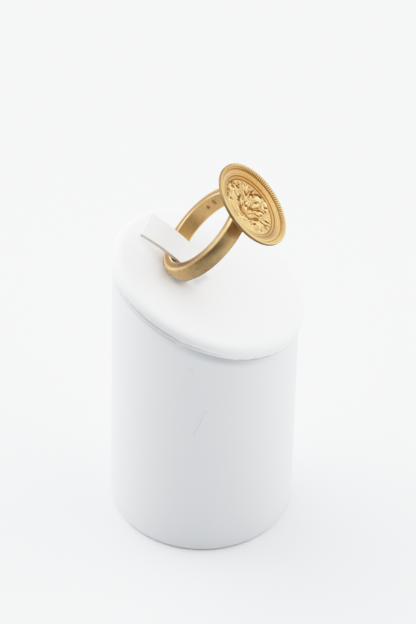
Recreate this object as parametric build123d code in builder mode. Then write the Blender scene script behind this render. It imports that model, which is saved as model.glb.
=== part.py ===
from build123d import *
import math
import os

# A signet ring on its display stand, millimetres, +Z up. The origin is the centre of the
# stand's foot, on the surface that it stands on. The stand's top falls towards -Y, and the
# ring leans that way in the plane X = 0, with its round plate facing -Y and up.

# Driving dimensions of the stand
body_radius = 19.65
axis_height = 58.55          # of the slanted top, on the stand's axis
top_slope = 19.8             # degrees, falling towards -Y
foot_round = 1.0

# Driving dimensions of the pad
pad_thickness = 3.0
pad_overhang = 0.5
pad_top_round = 1.9
pad_lip_round = 0.7

# Driving dimensions of the ring's band
finger_radius = 8.85
band_width = 3.7
edge_wall = 2.15             # thickness at the band's two edges
crown_rise = 0.35            # how much thicker the band is in the middle
band_outer_round = 0.35
band_inner_round = 0.15
ring_lean = 24.2             # degrees from the pad's slope up to the finger hole's axis
ring_uphill = 5.1            # finger hole's centre, up the slope from the stand's axis
ring_press = 0.1             # how deep the band's lower edge lies in the pad
seat_length = 6.8            # soldered seat between the band and the plate
seat_width = 3.3
seat_root = 1.08             # how deep the seat is rooted in the band

# Driving dimensions of the round plate: widths from its edge inwards, depths from its rim
plate_radius = 9.55
plate_reach = 13.45          # from the finger hole's centre to the rim's plane
plate_shift = -0.3           # along the finger hole's axis, off the band's middle
rim_width = 0.55
rim_round = 0.1
rim_edge = 0.65              # height of the plain outer edge
wall_width = 0.4             # steep ridged wall inside the rim
wall_depth = 0.74            # at its foot
wall_metal = 0.29            # metal left under its foot
border_width = 1.4           # plain sloped border
border_depth = 1.02          # at its inner edge
groove_width = 0.75          # from the border to the field, with a raised line between
groove_line = 0.26
groove_step = 0.16
field_depth = 1.38
field_metal = 0.82           # metal left under the field
back_flat_radius = 5.6
ridge_pitch = 0.477
ridge_width = 0.24
ridge_top_depth = 0.16
ridge_sink = 0.05            # how far the ridges are rooted below the foot of the wall
ridge_toe = 0.08             # how far they reach on to the border
ornament_turn = 60.8         # degrees, how far the ornament is turned in the plate
ornament_sink = 0.25         # how far the raised ornament is rooted in the field
bud_radius = 0.95

# Driving dimensions of the strip that holds the ring
strip_width = 7.7
strip_thickness = 0.7
strip_aside = 0.45           # its middle lies this far towards -X
strip_steeper = 2.5          # degrees, than the finger hole's axis, in the band's middle
strip_arch_radius = 41.0     # of its gentle arch through the ring
strip_bend_radius = 0.8      # of the tight bend at its root
strip_before = 2.0           # arched stretch below the band's lower face
strip_root_lean = 40.0       # degrees, down the slope on its way out of the pad
strip_beyond = 8.05          # from the band's upper face to the middle of the end
strip_end_skew = 11.0        # degrees, slant of the cut end
strip_below_seam = 5.0

# Clearances between pieces
strip_clear = 0.2            # round the strip in its slit and pocket
band_clear = 0.06            # between the strip's edges and the band that they lie on
dent_clear = 0.3             # between the band and the dent that it lies in


# Radii of the plate's steps
rim_crest = plate_radius - rim_width
wall_foot = rim_crest - wall_width
border_foot = wall_foot - border_width
field_radius = border_foot - groove_width


def plate_section():
    """Half section of the round plate as radius and height above the rim's plane, from the
    middle of the field outwards, over the rim and back along the underside."""
    field_line = field_radius + groove_line
    border_line = border_foot - groove_line
    mid_border = (border_foot + wall_foot) / 2
    back_depth = field_depth + field_metal
    return [
        (0, -field_depth),
        (field_radius, -field_depth),
        (field_line, -field_depth + groove_step),
        ((field_line + border_line) / 2, -border_depth - groove_step / 2),
        (border_line, -border_depth - groove_step),
        (border_foot, -border_depth),
        (mid_border, -(border_depth + wall_depth) / 2 + groove_step),
        (wall_foot, -wall_depth),
        (rim_crest - rim_round / 2, -rim_round),
        (rim_crest + rim_round / 2, 0),
        (plate_radius - rim_round, 0),
        (plate_radius, -rim_round),
        (plate_radius, -rim_edge),
        (plate_radius - 2 * rim_round, -rim_edge - rim_round),
        (wall_foot, -wall_depth - wall_metal),
        (back_flat_radius, -back_depth),
        (0, -back_depth),
    ]


# Raised ornament of the field. Across runs to the right and along runs down when the plate
# is seen straight on, with the finger hole's axis at the upper left. Places, lengths and
# widths are shares of the field's radius, heights are shares of its depth.
# Leaves: across and along of the root and of the tip, width, height
leaves = [
    (-0.17, 0.29, 0.54, 0.40, 0.23, 0.58),
    (0.17, 0.12, 0.70, 0.16, 0.17, 0.50),
    (0.25, -0.11, 0.80, -0.08, 0.20, 0.40),
    (-0.02, 0.12, -0.37, 0.19, 0.16, 0.50),
    (-0.05, -0.03, -0.31, -0.11, 0.12, 0.50),
    (0.02, -0.16, -0.22, -0.36, 0.14, 0.50),
    (0.11, -0.29, 0.45, -0.73, 0.12, 0.40),
    (-0.50, 0.08, -0.76, 0.03, 0.12, 0.28),
    (-0.47, 0.29, -0.72, 0.31, 0.11, 0.28),
    (-0.09, 0.51, -0.48, 0.48, 0.13, 0.32),
    (0.11, 0.59, 0.36, 0.84, 0.12, 0.28),
    (0.28, 0.56, 0.56, 0.76, 0.11, 0.28),
    (0.43, 0.51, 0.76, 0.65, 0.11, 0.26),
    (-0.06, 0.62, 0.06, 0.88, 0.11, 0.24),
    (-0.22, 0.62, -0.12, 0.85, 0.10, 0.22),
    (-0.37, 0.60, -0.40, 0.80, 0.10, 0.22),
]
leaf_belly = 0.45            # where a leaf is widest, as a share of its length
# Stems: across and along of the start and of the end, bow to the left, width, height
stems = [
    (-0.39, -0.19, 0.00, -0.48, 0.11, 0.078, 0.40),
    (0.25, -0.29, 0.65, -0.50, -0.04, 0.060, 0.29),
    (0.29, -0.31, 0.93, -0.04, 0.13, 0.055, 0.30),
    (-0.55, -0.55, -0.12, -0.66, -0.05, 0.043, 0.20),
]
# Scrolls: across and along of the middle, radius, start and length in degrees, width, height
scrolls = [
    (-0.08, -0.84, 0.090, 40, 260, 0.050, 0.28),
    (0.15, -0.76, 0.070, -140, 250, 0.045, 0.26),
    (0.39, -0.77, 0.095, -40, 220, 0.050, 0.30),
    (0.76, 0.34, 0.085, -160, 260, 0.048, 0.29),
    (0.74, -0.34, 0.065, 20, 230, 0.043, 0.25),
]
# Beads: across and along, radius
beads = [
    (-0.50, -0.79, 0.053), (-0.66, -0.69, 0.050), (-0.68, -0.52, 0.050), (0.70, 0.07, 0.045),
    (0.22, -0.19, 0.040), (0.30, 0.90, 0.040), (-0.30, 0.88, 0.040), (0.60, 0.84, 0.040),
]
bud_place = (0.05, -0.03)

# Two blank dents inside the band: degrees from the plate round to the -side, then as shares
# of the band's width the place along the finger hole's axis, the length along it, the width
dents = [(84, 0.10, 0.27, 0.12), (96, 0.06, 0.14, 0.11)]
dent_depth = 0.15

# Directions. The seam's plane has up_slope and square as its own axes.
slope = math.radians(top_slope)
lean_on_slope = math.radians(ring_lean)
lean = slope + lean_on_slope
up_slope = Vector(0, math.cos(slope), math.sin(slope))
square = Vector(0, -math.sin(slope), math.cos(slope))
finger_axis = Vector(0, math.cos(lean), math.sin(lean))
plate_axis = Vector(0, -math.sin(lean), math.cos(lean))
side = Vector(-1, 0, 0)

half_band = band_width / 2
band_edge = finger_radius + edge_wall
band_reach = band_edge * math.cos(lean_on_slope) + half_band * math.sin(lean_on_slope)
ring_height = pad_thickness + band_reach - ring_press

seam_centre = Vector(0, 0, axis_height)
ring_centre = seam_centre + up_slope * ring_uphill + square * ring_height
plate_centre = ring_centre + plate_axis * plate_reach + finger_axis * plate_shift
seam = Plane(origin=seam_centre, x_dir=(1, 0, 0), z_dir=square)

# The half section of the band is drawn with the radius along x and the finger hole's axis
# along y, that of the plate with the radius along x and its own axis along y.
band_section_plane = Plane(origin=ring_centre, x_dir=side, z_dir=side.cross(finger_axis))
plate_section_plane = Plane(origin=plate_centre, x_dir=side, z_dir=side.cross(plate_axis))

# The plate seen straight on: across to the right, along downwards, turned so that the
# finger hole's axis points to the upper left.
plate_turn = math.radians(ornament_turn)
across = finger_axis * -math.cos(plate_turn) + side * -math.sin(plate_turn)
field_centre = plate_centre - plate_axis * (field_depth + ornament_sink)
field = Plane(origin=field_centre, x_dir=across, z_dir=plate_axis)


def on_field(across_share, along_share):
    """Place on the field's plane, whose y runs upwards, in millimetres."""
    return (across_share * field_radius, -along_share * field_radius)


# The strip's middle line as places up the slope and square to it. The strip lies on the
# band's inner face with its two long edges, lowest at the band's lower face.
half_strip = strip_width / 2 + strip_aside + band_clear
arch_turn = lean_on_slope + math.radians(strip_steeper)
arch_dip = half_band * math.tan(math.radians(strip_steeper)) + half_band ** 2 / (2 * strip_arch_radius)
strip_rest = strip_thickness / 2 + band_clear + arch_dip
strip_drop = math.sqrt(finger_radius ** 2 - half_strip ** 2) - strip_rest
bend_turn = arch_turn + (half_band + strip_before) / strip_arch_radius
tip_turn = arch_turn - (half_band + strip_beyond) / strip_arch_radius


def slope_normal(turn):
    """Unit vector square to a line that rises by this angle from the slope."""
    return Vector(-math.sin(turn), math.cos(turn))


arch_middle = Vector(ring_uphill, ring_height) - slope_normal(lean_on_slope) * strip_drop
arch_centre = arch_middle - slope_normal(arch_turn) * strip_arch_radius
bend_end = arch_centre + slope_normal(bend_turn) * strip_arch_radius
root_turn = math.radians(90 + strip_root_lean)
bend_start = bend_end + (slope_normal(root_turn) - slope_normal(bend_turn)) * strip_bend_radius
root_lean_step = Vector(math.tan(math.radians(strip_root_lean)), -1)
root_end = bend_start + root_lean_step * (bend_start.Y + strip_below_seam)

# The cut end of the strip, a little slanted across it
strip_middle = seam_centre + side * strip_aside
tip = arch_centre + slope_normal(tip_turn) * strip_arch_radius
tip_place = strip_middle + up_slope * tip.X + square * tip.Y
tip_way = up_slope * math.cos(tip_turn) + square * math.sin(tip_turn)
skew = math.radians(strip_end_skew)
end_cut = Plane(origin=tip_place, z_dir=tip_way * math.cos(skew) - side * math.sin(skew))

# Strip: a flat tongue that rises through the pad, bends over and arches through the ring
strip_side = Plane(origin=strip_middle, x_dir=up_slope, z_dir=up_slope.cross(square))
with BuildLine() as way:
    rise = Line(root_end, bend_start)
    bend = JernArc(rise @ 1, rise % 1, strip_bend_radius, math.degrees(bend_turn - root_turn))
    arch = JernArc(bend @ 1, bend % 1, strip_arch_radius, math.degrees(tip_turn - bend_turn))
    PolarLine(arch @ 1, strip_width, math.degrees(tip_turn))

with BuildPart() as ring_strip:
    with BuildSketch(strip_side):
        trace(way.line, line_width=strip_thickness)
    extrude(amount=strip_width / 2, both=True)
    split(bisect_by=end_cut, keep=Keep.BOTTOM)

# The room that the strip needs in the stand, down to the end of its root
with BuildPart() as strip_room:
    with BuildSketch(strip_side):
        trace(way.line, line_width=strip_thickness + 2 * strip_clear)
    extrude(amount=strip_width / 2 + strip_clear, both=True)

# Stand body: an upright cylinder cut off at a slant, with a pocket for the strip
with BuildPart() as stand_body:
    with BuildSketch():
        Circle(body_radius)
    extrude(amount=axis_height + 2 * body_radius * math.tan(slope))
    split(bisect_by=seam, keep=Keep.BOTTOM)
    foot_edge = stand_body.edges().sort_by(Axis.Z)[0]
    fillet(foot_edge, foot_round)
    add(strip_room.part, mode=Mode.SUBTRACT)

# Pad: a rounded cushion over the whole slanted top, with the strip's slit and the dent
# that the band presses into it
pad_x = body_radius + pad_overhang
pad_y = pad_x / math.cos(slope)
dent_radius = band_edge + crown_rise + dent_clear
dent_width = band_width + 2 * dent_clear

with BuildPart() as stand_pad:
    with BuildSketch(seam):
        Ellipse(pad_x, pad_y)
    extrude(amount=pad_thickness)
    rims = stand_pad.edges().group_by(Axis(seam_centre, square))
    fillet(rims[-1], min(pad_top_round, 0.65 * pad_thickness))
    fillet(rims[0], min(pad_lip_round, 0.25 * pad_thickness))
    add(strip_room.part, mode=Mode.SUBTRACT)
    with BuildSketch(Plane(origin=ring_centre, x_dir=side, z_dir=finger_axis)):
        Circle(dent_radius)
    extrude(amount=dent_width / 2, both=True, mode=Mode.SUBTRACT)

# Raised ornament of the field, each piece rooted a little way into it
with BuildPart() as ornament:
    for root_x, root_y, tip_x, tip_y, width, height in leaves:
        root = Vector(*on_field(root_x, root_y))
        tip = Vector(*on_field(tip_x, tip_y))
        across_leaf = (tip - root).normalized().rotate(Axis.Z, 90) * (width * field_radius / 2)
        middle = root + (tip - root) * leaf_belly
        with BuildSketch(field):
            with BuildLine():
                ThreePointArc(root, middle + across_leaf, tip)
                ThreePointArc(tip, middle - across_leaf, root)
            make_face()
        extrude(amount=ornament_sink + height * field_depth)
    for start_x, start_y, end_x, end_y, bow, width, height in stems:
        start = Vector(*on_field(start_x, start_y))
        end = Vector(*on_field(end_x, end_y))
        bow_way = (end - start).normalized().rotate(Axis.Z, 90) * (bow * field_radius)
        with BuildSketch(field):
            with BuildLine() as stem_line:
                ThreePointArc(start, (start + end) * 0.5 + bow_way, end)
            SlotArc(stem_line.line.edges()[0], width * field_radius)
        extrude(amount=ornament_sink + height * field_depth)
    for middle_x, middle_y, radius, start_angle, sweep_angle, width, height in scrolls:
        with BuildSketch(field):
            with BuildLine() as scroll_line:
                centre = on_field(middle_x, middle_y)
                CenterArc(centre, radius * field_radius, start_angle, sweep_angle)
            SlotArc(scroll_line.line.edges()[0], width * field_radius)
        extrude(amount=ornament_sink + height * field_depth)
    for bead_x, bead_y, radius in beads:
        x, y = on_field(bead_x, bead_y)
        with Locations(field.location * Location((x, y, ornament_sink))):
            Sphere(radius * field_radius)
    bud_x, bud_y = on_field(*bud_place)
    with Locations(field.location * Location((bud_x, bud_y, ornament_sink))):
        Sphere(bud_radius)

# The fine ridges stand against the wall between the rim and the sloped border
ridge_radius = wall_foot + (wall_width - ridge_toe) / 2
ridge_count = round(2 * math.pi * ridge_radius / ridge_pitch)
ridge_bottom = wall_depth + ridge_sink
ridge_plane = Plane(origin=plate_centre - plate_axis * ridge_bottom, x_dir=across, z_dir=plate_axis)

# Ring: one casting of band, seat, plate and raised ornament
with BuildPart() as signet_ring:
    with BuildSketch(band_section_plane):
        with BuildLine():
            Line((finger_radius, half_band), (finger_radius, -half_band))
            Line((finger_radius, -half_band), (band_edge, -half_band))
            ThreePointArc((band_edge, -half_band), (band_edge + crown_rise, 0), (band_edge, half_band))
            Line((band_edge, half_band), (finger_radius, half_band))
        band_face = make_face()
        corners = band_face.vertices().group_by(Axis(ring_centre, side))
        fillet(corners[-1], band_outer_round)
        fillet(corners[0], band_inner_round)
    revolve(axis=Axis(ring_centre, finger_axis))
    with BuildSketch(plate_section_plane):
        with BuildLine():
            Polyline(*plate_section(), close=True)
        make_face()
    revolve(axis=Axis(plate_centre, plate_axis))
    seat_start = band_edge - min(seat_root, 0.7 * edge_wall)
    seat_bottom = ring_centre + plate_axis * seat_start
    seat_top = plate_reach - field_depth - 0.5 * field_metal
    with BuildSketch(Plane(origin=seat_bottom, x_dir=side, z_dir=plate_axis)):
        RectangleRounded(seat_length, seat_width, 0.3 * min(seat_width, seat_length))
    extrude(amount=seat_top - seat_start)
    with BuildSketch(ridge_plane):
        with PolarLocations(ridge_radius, ridge_count):
            Rectangle(wall_width + ridge_toe, ridge_width)
    extrude(amount=ridge_bottom - ridge_top_depth)
    add(ornament.part)
    for angle, place, length, width in dents:
        turn = math.radians(angle)
        outward = plate_axis * math.cos(turn) - side * math.sin(turn)
        dent_place = ring_centre + finger_axis * (place * band_width) + outward * (finger_radius + dent_depth)
        with BuildSketch(Plane(origin=dent_place, x_dir=finger_axis, z_dir=outward)):
            SlotOverall(length * band_width, width * band_width)
        extrude(amount=-2 * dent_depth, mode=Mode.SUBTRACT)

signet_ring.part.label = "signet_ring"
ring_strip.part.label = "ring_strip"
stand_body.part.label = "stand_body"
stand_pad.part.label = "stand_pad"

os.makedirs("parts", exist_ok=True)
export_step(stand_body.part, "parts/stand_body.step")
export_step(stand_pad.part, "parts/stand_pad.step")
export_step(ring_strip.part, "parts/ring_strip.step")
export_step(signet_ring.part, "parts/signet_ring.step")
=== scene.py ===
"""A gilded ring on its padded display stand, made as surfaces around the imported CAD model.
Each piece is worked out in the same frame as the CAD, in metres: +Z up, the stand's foot on
the floor at the origin, and its slanted top falling towards -Y."""

import math
from types import SimpleNamespace

import bpy
import numpy as np
from mathutils import Matrix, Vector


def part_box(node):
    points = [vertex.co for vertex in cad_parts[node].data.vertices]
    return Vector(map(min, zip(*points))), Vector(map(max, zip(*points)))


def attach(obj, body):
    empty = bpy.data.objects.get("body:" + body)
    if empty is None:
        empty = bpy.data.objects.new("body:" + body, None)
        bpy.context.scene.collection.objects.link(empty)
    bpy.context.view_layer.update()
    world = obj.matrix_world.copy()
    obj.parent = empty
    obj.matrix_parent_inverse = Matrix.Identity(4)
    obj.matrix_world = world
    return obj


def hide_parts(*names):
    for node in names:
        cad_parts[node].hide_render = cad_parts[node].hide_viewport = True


bl_info = {
    "name": "Ring on Display Stand",
    "version": (1, 0, 0),
    "blender": (4, 5, 0),
    "location": "3D View > Sidebar > Ring",
    "description": "Builds a gilded ring on a padded display stand, with its floor, light and camera",
    "category": "Object",
}

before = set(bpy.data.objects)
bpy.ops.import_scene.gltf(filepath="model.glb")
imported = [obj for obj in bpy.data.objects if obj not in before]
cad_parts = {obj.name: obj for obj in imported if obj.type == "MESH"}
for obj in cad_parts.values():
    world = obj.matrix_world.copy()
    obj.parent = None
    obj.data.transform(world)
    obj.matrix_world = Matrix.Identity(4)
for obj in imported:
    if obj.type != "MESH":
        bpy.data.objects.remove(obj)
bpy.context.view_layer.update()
STAND_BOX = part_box("stand_body")
MM = 0.001


def linear(code):
    """Linear colour of an sRGB hex code, by the standard's own curve."""
    shares = np.array([int(code[i:i + 2], 16) for i in (1, 3, 5)]) / 255
    return tuple(np.where(shares <= 0.04045, shares / 12.92, ((shares + 0.055) / 1.055) ** 2.4).tolist())


def size(label, about, millimetres):
    """A length that the user can change."""
    return bpy.props.FloatProperty(
        name=label, description=about, default=millimetres * MM, unit="LENGTH", precision=3)


def turn(label, about, degrees):
    """An angle that the user can change."""
    return bpy.props.FloatProperty(
        name=label, description=about, default=math.radians(degrees), subtype="ANGLE")


def share(label, about, value, most):
    """A plain number that the user can change."""
    return bpy.props.FloatProperty(
        name=label, description=about, default=value, min=0, max=most, subtype="FACTOR")


def colour(label, about, code):
    """A colour that the user can change."""
    return bpy.props.FloatVectorProperty(
        name=label, description=about, default=linear(code), size=3, min=0, max=1, subtype="COLOR")


class StandSettings(bpy.types.PropertyGroup):
    """Sizes and colours of the stand and its cushion."""
    body_radius: size("Body radius", "Radius of the upright body", (STAND_BOX[1].x - STAND_BOX[0].x) / 2 / MM)
    axis_height: size("Axis height", "Height of the slanted top on the body's axis", 58.55)
    top_slope: turn("Top slope", "Slant of the top, falling towards -Y", 19.8)
    foot_round: size("Foot round", "Rounding of the body's foot", 1.0)
    pad_thickness: size("Pad thickness", "Thickness of the cushion", 3.0)
    pad_overhang: size("Pad overhang", "How far the cushion stands out over the body", 0.5)
    pad_top_round: size("Pad top round", "Rounding of the cushion's upper edge", 1.9)
    pad_lip_round: size("Pad lip round", "Rounding of the cushion's lower edge", 0.7)
    pad_crown: size("Pad crown", "How much the cushion rises towards its middle", 0.22)
    body_colour: colour("Body colour", "Cover of the body", "#DADBDC")
    pad_colour: colour("Pad colour", "Cover of the cushion", "#FAFAF9")


class RingSettings(bpy.types.PropertyGroup):
    """Sizes and colours of the ring."""
    finger_radius: size("Finger radius", "Radius of the finger hole", 8.85)
    band_width: size("Band width", "Width of the band along the finger hole", 3.7)
    edge_wall: size("Edge wall", "Thickness of the band at its edges", 2.15)
    crown_rise: size("Crown", "How much thicker the band is in its middle", 0.35)
    outer_round: size("Outer round", "Rounding of the band's outer edges", 0.8)
    inner_round: size("Inner round", "Rounding of the band's inner edges", 0.15)
    lean: turn("Lean", "From the cushion's slope up to the finger hole's axis", 24.2)
    uphill: size("Uphill", "Finger hole's centre, up the slope from the stand's axis", 5.1)
    press: size("Press", "How deep the band lies in the cushion", 0.1)
    seat_length: size("Seat length", "Length of the seat between band and plate", 6.8)
    seat_width: size("Seat width", "Width of the seat between band and plate", 3.3)
    plate_radius: size("Plate radius", "Radius of the round plate", 9.55)
    plate_reach: size("Plate reach", "From the finger hole's centre to the plate's rim", 13.45)
    plate_shift: size("Plate shift", "Plate's centre along the finger hole, off the band's middle", -0.3)
    plate_aside: size("Plate aside", "Plate's centre towards -X, off the band's middle", 0.45)
    ornament_turn: turn("Ornament turn", "How far the ornament is turned in the plate", 60.8)
    ridge_pitch: size("Ridge pitch", "From one fine ridge of the rim to the next", 0.477)
    dent_depth: size("Dent depth", "Depth of the two blank dents inside the band", 0.15)
    gold_colour: colour("Gold", "Gilding as it mostly is", "#D4AF78")
    # The worn colour also serves for painted highlights
    worn_and_highlight_colour: colour("Worn", "Gilding that is rubbed bright", "#FFE2A8")
    tarnish_colour: colour("Tarnish", "Gilding under dull olive tarnish", "#86704E")
    recess_colour: colour("Recess", "Gilding in its recesses", "#94601C")


class StripSettings(bpy.types.PropertyGroup):
    """Sizes and colour of the strip that holds the ring."""
    width: size("Width", "Width of the strip", 7.7)
    thickness: size("Thickness", "Thickness of the strip", 0.7)
    aside: size("Aside", "How far its middle lies towards -X", 0.45)
    steeper: turn("Steeper", "Than the finger hole's axis, in the band's middle", 2.5)
    arch_radius: size("Arch radius", "Of its gentle arch through the ring", 41.0)
    bend_radius: size("Bend radius", "Of the tight bend at its root", 0.8)
    before: size("Before", "Arched stretch below the band's lower face", 2.0)
    root_lean: turn("Root lean", "Down the slope on its way out of the cushion", 40.0)
    beyond: size("Beyond", "From the band's upper face to the strip's end", 8.05)
    end_skew: turn("End skew", "Slant of the cut end", 11.0)
    below_seam: size("Below seam", "How deep the root goes into the body", 5.0)
    strip_colour: colour("Strip colour", "The strip's plastic", "#F8F8F7")


class StageSettings(bpy.types.PropertyGroup):
    """Floor, light and camera."""
    floor_colour: colour("Floor colour", "Plain pale floor", "#F2F3F4")
    light_colour: colour("Light colour", "Cloths of the light tent", "#FBFDFF")
    light_strength: share("Light strength", "Of all the cloths together", 1.0, 4.0)
    lens: bpy.props.FloatProperty(
        name="Lens", description="Focal length on a 36 mm sensor", default=231.9, min=1, unit="CAMERA")
    elevation: turn("Elevation", "Of the camera over the horizon", 41.95)
    azimuth: turn("Azimuth", "Of the camera round the stand", -84.1)
    roll: turn("Roll", "Of the camera", 1.46)
    distance: size("Distance", "From the camera to the foot's centre along its view", 876.7)


def unit(*parts):
    """Vector of length one."""
    vector = np.array(parts, float)
    return vector / np.linalg.norm(vector)


def layout():
    """Directions and places that the pieces share. The slope's frame has X, the way up the
    slope and its normal; the ring's has the finger hole's axis and the plate's axis."""
    scene = bpy.context.scene
    stand, ring = scene.display_stand, scene.gilded_ring
    lean = stand.top_slope + ring.lean
    up_slope = np.array([0, math.cos(stand.top_slope), math.sin(stand.top_slope)])
    square = np.array([0, -math.sin(stand.top_slope), math.cos(stand.top_slope)])
    finger_axis = np.array([0, math.cos(lean), math.sin(lean)])
    plate_axis = np.array([0, -math.sin(lean), math.cos(lean)])
    side = np.array([-1.0, 0, 0])
    half_band = ring.band_width / 2
    band_edge = ring.finger_radius + ring.edge_wall
    reach = band_edge * math.cos(ring.lean) + half_band * math.sin(ring.lean)
    ring_height = stand.pad_thickness + reach - ring.press
    seam_centre = np.array([0, 0, stand.axis_height])
    ring_centre = seam_centre + up_slope * ring.uphill + square * ring_height
    plate_centre = (ring_centre + plate_axis * ring.plate_reach + finger_axis * ring.plate_shift
                    + side * ring.plate_aside)
    across = -finger_axis * math.cos(ring.ornament_turn) - side * math.sin(ring.ornament_turn)
    return SimpleNamespace(
        up_slope=up_slope, square=square, finger_axis=finger_axis, plate_axis=plate_axis, side=side,
        half_band=half_band, band_edge=band_edge, ring_height=ring_height, seam_centre=seam_centre,
        ring_centre=ring_centre, plate_centre=plate_centre, across=across,
        along=np.cross(plate_axis, across))


# Meshes

def smooth_step(low, high, value):
    """0 below low, 1 above high, and 3t^2 - 2t^3 between them."""
    t = np.clip((value - low) / (high - low), 0, 1)
    return t * t * (3 - 2 * t)


def bell(distance, width):
    """Gaussian of a distance: 1 at 0 and about 0.6 at the width."""
    return np.exp(-0.5 * (distance / width) ** 2)


def highest(*layers):
    """Largest of the layers at each place."""
    return np.maximum.reduce(np.broadcast_arrays(*layers))


def full_turn(count):
    """Angles evenly spaced round a full turn."""
    return np.arange(count) / count * 2 * math.pi


def add_surface(name, rows, ring_of_rows=False, values=None, crease=35.0):
    """Closed mesh object from rows of points, each row a closed loop: quads join the rows, and
    a fan closes each end row to its middle, or the last row joins the first in a ring of rows.
    The enclosed volume's sign turns the faces outwards. Values holds numbers for the points
    under their attribute's name."""
    count, columns = rows.shape[:2]
    points = rows.reshape(-1, 3)
    index = np.arange(count * columns).reshape(count, columns)
    joined = np.vstack([index, index[:1]]) if ring_of_rows else index
    after = np.roll(joined, -1, axis=1)
    quads = np.stack([joined[:-1], after[:-1], after[1:], joined[1:]], axis=-1).reshape(-1, 4)
    fans = np.zeros((0, 3), int)
    if not ring_of_rows:
        pole = np.full(columns, len(points))
        points = np.vstack([points, rows[0].mean(0), rows[-1].mean(0)])
        fans = np.vstack([np.stack([pole, after[0], joined[0]], axis=-1),
                          np.stack([pole + 1, joined[-1], after[-1]], axis=-1)])
    triangles = np.vstack([quads[:, :3], quads[:, [0, 2, 3]], fans])
    corner = points[triangles]
    if np.einsum("ij,ij->i", corner[:, 0], np.cross(corner[:, 1], corner[:, 2])).sum() < 0:
        quads, fans = quads[:, ::-1], fans[:, ::-1]
    mesh = bpy.data.meshes.new(name)
    mesh.vertices.add(len(points))
    mesh.vertices.foreach_set("co", points.astype(np.float32).ravel())
    mesh.loops.add(quads.size + fans.size)
    mesh.loops.foreach_set("vertex_index", np.concatenate([quads.ravel(), fans.ravel()]).astype(np.int32))
    mesh.polygons.add(len(quads) + len(fans))
    starts = np.concatenate([np.arange(len(quads)) * 4, quads.size + np.arange(len(fans)) * 3])
    mesh.polygons.foreach_set("loop_start", starts.astype(np.int32))
    mesh.update(calc_edges=True)
    mesh.validate()
    for label, numbers in (values or {}).items():
        numbers = np.broadcast_to(numbers, (count, columns))
        flat = numbers.reshape(-1)
        if not ring_of_rows:
            flat = np.concatenate([flat, [numbers[0].mean(), numbers[-1].mean()]])
        mesh.attributes.new(label, "FLOAT", "POINT").data.foreach_set("value", flat.astype(np.float32))
    mesh.shade_smooth()
    mesh.set_sharp_from_angle(angle=math.radians(crease))
    piece = bpy.data.objects.new(name, mesh)
    bpy.context.scene.collection.objects.link(piece)
    return piece


def finish_piece(piece, material, slot, *nodes):
    """Gives the piece its material, its body and the nodes it stands for; the slot is not used."""
    piece.data.materials.append(material)
    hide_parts(*nodes)
    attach(piece, "root")


def round_corners(corners, radii, steps, loop=True):
    """Polygon whose corners are arcs: each arc runs between the two points where it touches the
    corner's sides, at radius / tan(half the corner's angle) from the corner."""
    corners = np.array(corners, float)
    found = []
    for k, corner in enumerate(corners):
        if not loop and k in (0, len(corners) - 1) or radii[k] == 0:
            found.append(corner[None])
            continue
        before = unit(*(corners[k - 1] - corner))
        after = unit(*(corners[(k + 1) % len(corners)] - corner))
        half = math.acos(np.clip(before @ after, -1, 1)) / 2
        centre = corner + unit(*(before + after)) * radii[k] / math.sin(half)
        start = corner + before * radii[k] / math.tan(half) - centre
        end = corner + after * radii[k] / math.tan(half) - centre
        bow = math.pi - 2 * half
        t = np.linspace(0, 1, steps + 1)[:, None]
        arc = (np.sin((1 - t) * bow) * start + np.sin(t * bow) * end) / math.sin(bow)
        found.append(centre + arc)
    return np.vstack(found)


def spaced(points, step, loop=False):
    """Points along a polygon with each side divided into runs no longer than the step."""
    ends = np.roll(points, -1, axis=0) if loop else points[1:]
    starts = points if loop else points[:-1]
    found = []
    for start, end in zip(starts, ends):
        runs = max(1, math.ceil(np.linalg.norm(end - start) / step - 1e-6))
        found.append(start + (end - start) * (np.arange(runs) / runs)[:, None])
    if not loop:
        found.append(points[-1:])
    return np.vstack(found)


# Points round each piece, and steps along the plate's and the band's sections
RIDGE_COLUMNS = 5
BAND_COLUMNS = 480
SEAT_COLUMNS = 96
PAD_COLUMNS = 400
BODY_COLUMNS = 360
TOP_STEP = 0.09 * MM
UNDER_STEP = 0.5 * MM
BAND_STEP = 0.16 * MM
# Section of the plate
RIM_WIDTH = 0.36 * MM
RIM_EDGE = 0.65 * MM
WALL_WIDTH = 0.64 * MM
WALL_DEPTH = 0.64 * MM
WALL_METAL = 0.36 * MM
BORDER_WIDTH = 1.35 * MM
BORDER_DEPTH = 1.02 * MM
GROOVE_WIDTH = 0.75 * MM
GROOVE_LINE = 0.26 * MM
GROOVE_STEP = 0.16 * MM
FIELD_DEPTH = 1.38 * MM
FIELD_METAL = 0.82 * MM
BACK_FLAT = 5.6 * MM
AXIS_GAP = 0.02 * MM
# Ridges of its wall, nicks between them on the crest, and turning lines of the border
RIDGE_TOP = 0.04 * MM
RIB_LIFT = 0.17 * MM
NICK_DEPTH = 0.07 * MM
TURNING_PITCH = 0.42 * MM
TURNING_LIFT = 0.022 * MM
# Dark lines of the plate: how far inside the wall's foot, half width, both in millimetres, and
# darkness
PLATE_LINES = [(2.08, 0.13, 0.8), (1.4, 0.13, 0.8), (0.72, 0.09, 0.36), (0.04, 0.14, 0.72)]
# A dark spot on the plate: its place across and along, and its half width
SPOT = (1.1 * MM, 9.12 * MM, 0.2 * MM)

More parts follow.
